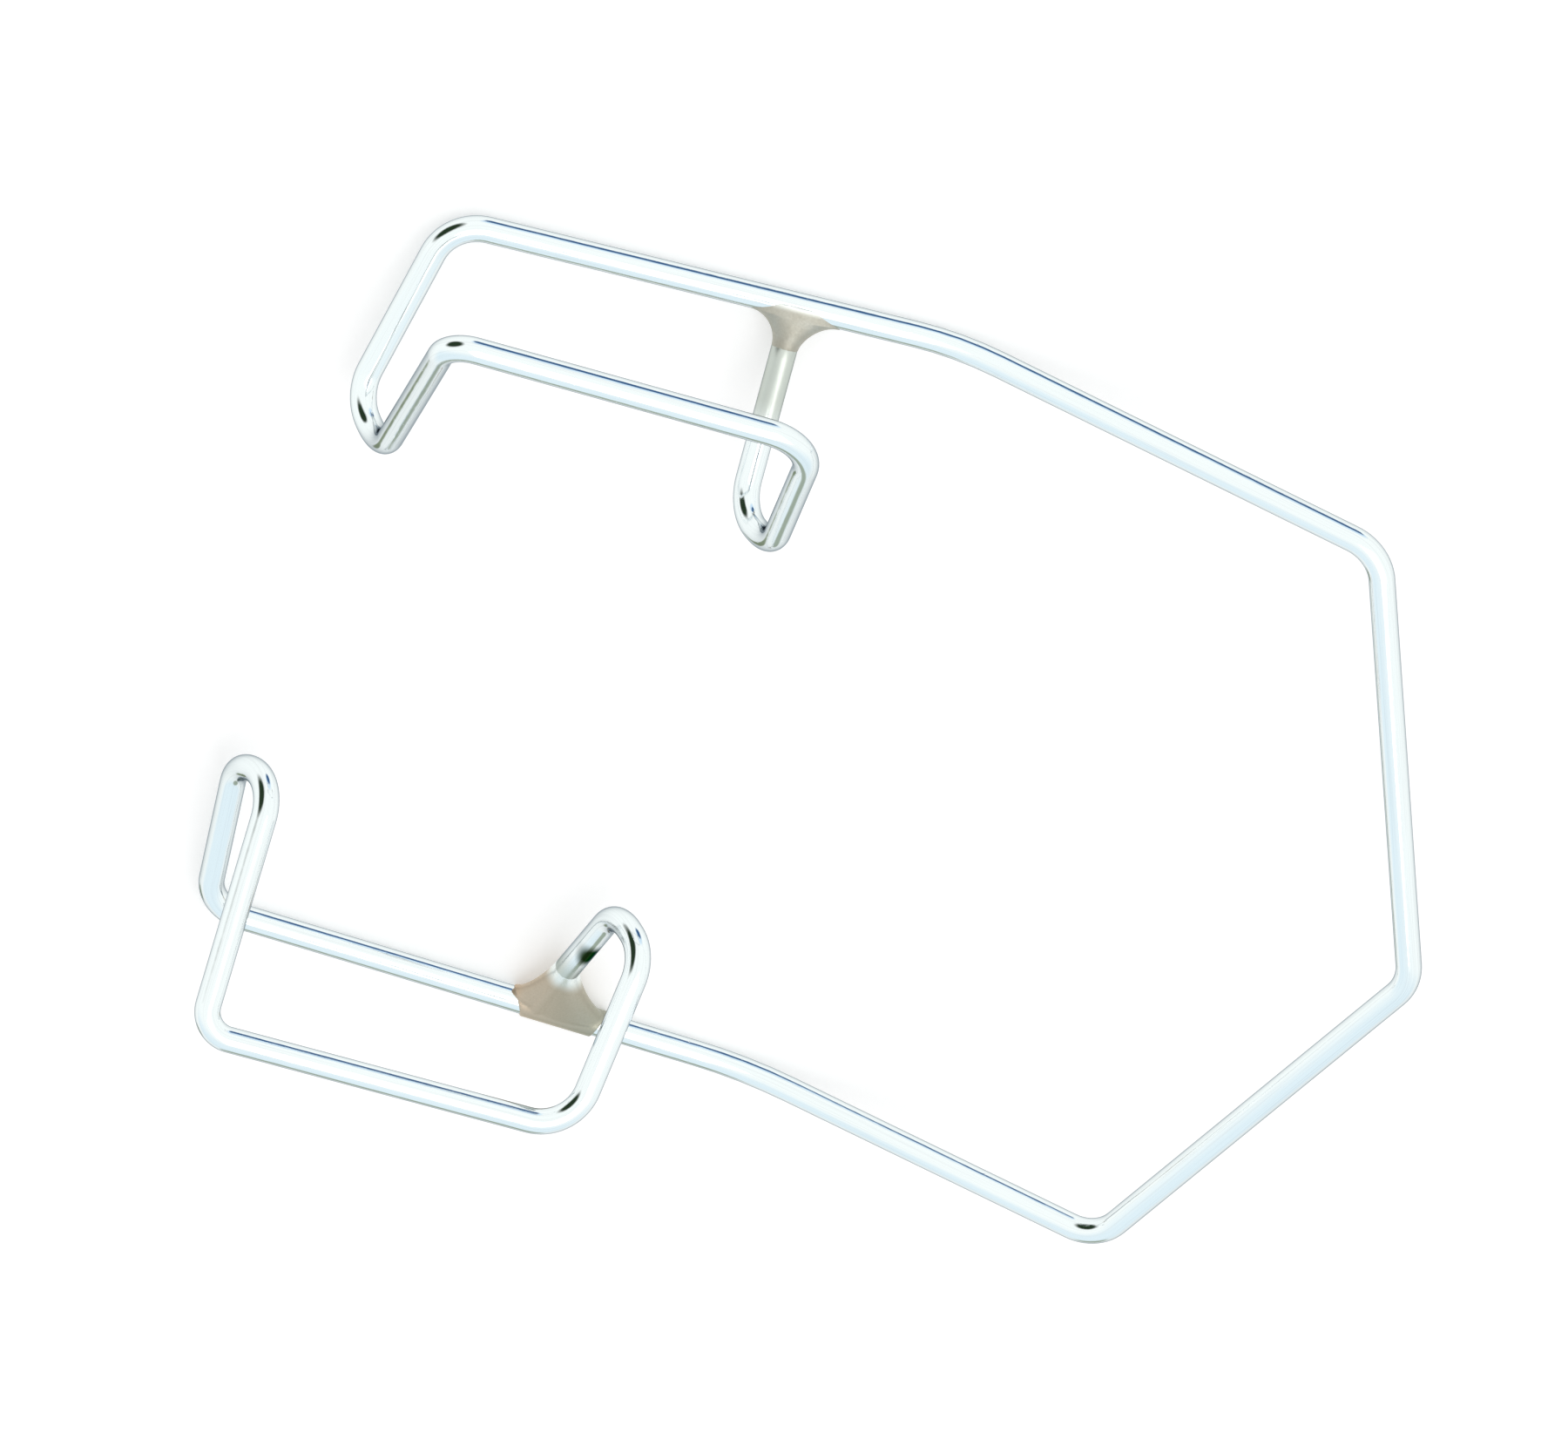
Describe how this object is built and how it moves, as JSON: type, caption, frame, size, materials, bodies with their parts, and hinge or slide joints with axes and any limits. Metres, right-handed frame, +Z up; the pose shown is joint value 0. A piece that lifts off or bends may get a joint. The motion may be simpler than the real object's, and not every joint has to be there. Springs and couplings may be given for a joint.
{
  "type": "eye speculum",
  "caption": "Wire eyelid speculum: bent round wire with a sprung V and open fenestrated blades, each closed by a brazed joint on its arm.",
  "frame": {"origin": "under the middle of the frame, on the surface that the two straight arms and outer blade wires lie on", "axes": "+X from the blade tips to the spring's apex, +Y to the upper blade, +Z up, to the raised under-lid wires and spring"},
  "size_m": [0.045, 0.0348, 0.0095],
  "materials": {
    "polished_wire": "polished stainless steel wire",
    "braze_alloy": "satin silver brazing alloy, dulled by heat"
  },
  "bodies": {
    "root": {"wire_frame": "polished_wire", "upper_braze": "braze_alloy", "lower_braze": "braze_alloy"}
  },
  "joints": []
}
